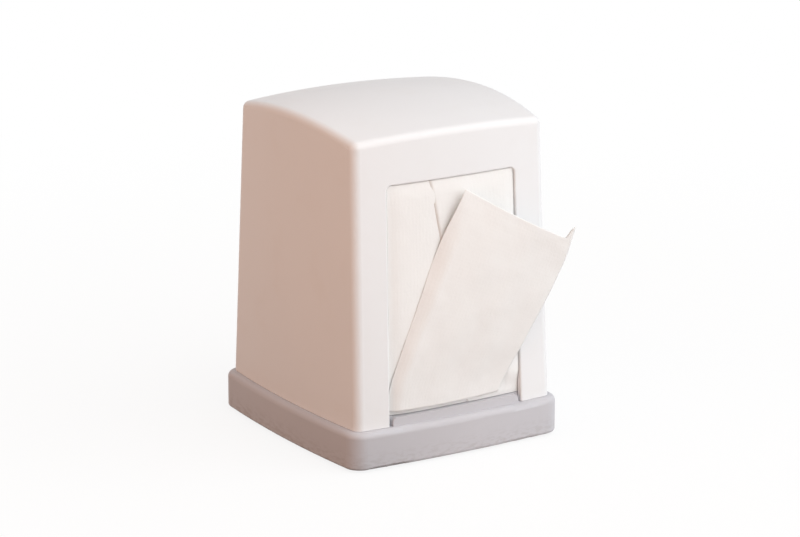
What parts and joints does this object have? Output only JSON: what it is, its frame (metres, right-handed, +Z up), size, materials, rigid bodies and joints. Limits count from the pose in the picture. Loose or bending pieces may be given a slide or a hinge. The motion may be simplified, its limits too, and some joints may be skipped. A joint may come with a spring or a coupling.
{
  "type": "napkin dispenser",
  "caption": "Tabletop napkin dispenser: white crowned cover with a front window lifts off a grey base, and a spring-driven pusher keeps folded napkins at the window.",
  "frame": {"origin": "centre of the plane that the rubber ring rests on", "axes": "+Z up, -Y out of the napkin window, +X to the right of someone facing the window"},
  "size_m": [0.115, 0.1236, 0.154],
  "materials": {
    "cover_white": "moulded ABS, satin gloss",
    "base_grey": "moulded ABS, fine matt",
    "plated_steel": "zinc-plated sheet",
    "fastener_steel": "zinc-plated",
    "rubber_dark": "matt",
    "chassis_grey": "moulded, matt",
    "cup_black": "moulded acetal",
    "pusher_grey": "moulded, matt",
    "spring_steel": "drawn wire",
    "napkin_paper": "embossed tissue"
  },
  "bodies": {
    "base": {"base_tray": "base_grey", "bottom_plate": "plated_steel", "bottom_screws": "fastener_steel", "non_slip_ring": "rubber_dark", "back_plate": "chassis_grey", "back_plate_screws": "fastener_steel", "spring_cup_rear": "cup_black", "rear_cup_screw": "fastener_steel", "main_spring": "spring_steel", "napkin_stack": "napkin_paper", "next_napkin": "napkin_paper", "pulled_napkin": "napkin_paper", "side_guide_left": "chassis_grey", "side_guide_right": "chassis_grey", "cover_clip_left": "spring_steel", "cover_clip_right": "spring_steel", "clip_rivets_left": "fastener_steel", "clip_rivets_right": "fastener_steel"},
    "cover": {"cover_shell": "cover_white"},
    "pusher": {"pusher_plate": "pusher_grey", "pusher_carriage": "chassis_grey", "pusher_plate_screws": "fastener_steel", "carriage_keeper": "cup_black", "keeper_screws": "fastener_steel", "spring_cup_front": "cup_black", "front_cup_screw": "fastener_steel"}
  },
  "joints": [
    {"name": "cover_lift", "type": "slide", "parent": "base", "child": "cover", "axis": [0, 0, 1], "range_m": [0, 0.13], "deforming": ["cover_clip_left", "cover_clip_right"]},
    {"name": "pusher_slide", "type": "slide", "parent": "base", "child": "pusher", "axis": [0, -1, 0], "range_m": [0, 0.06], "stiffness_N_per_m": 40, "deforming": ["main_spring", "napkin_stack"]}
  ]
}
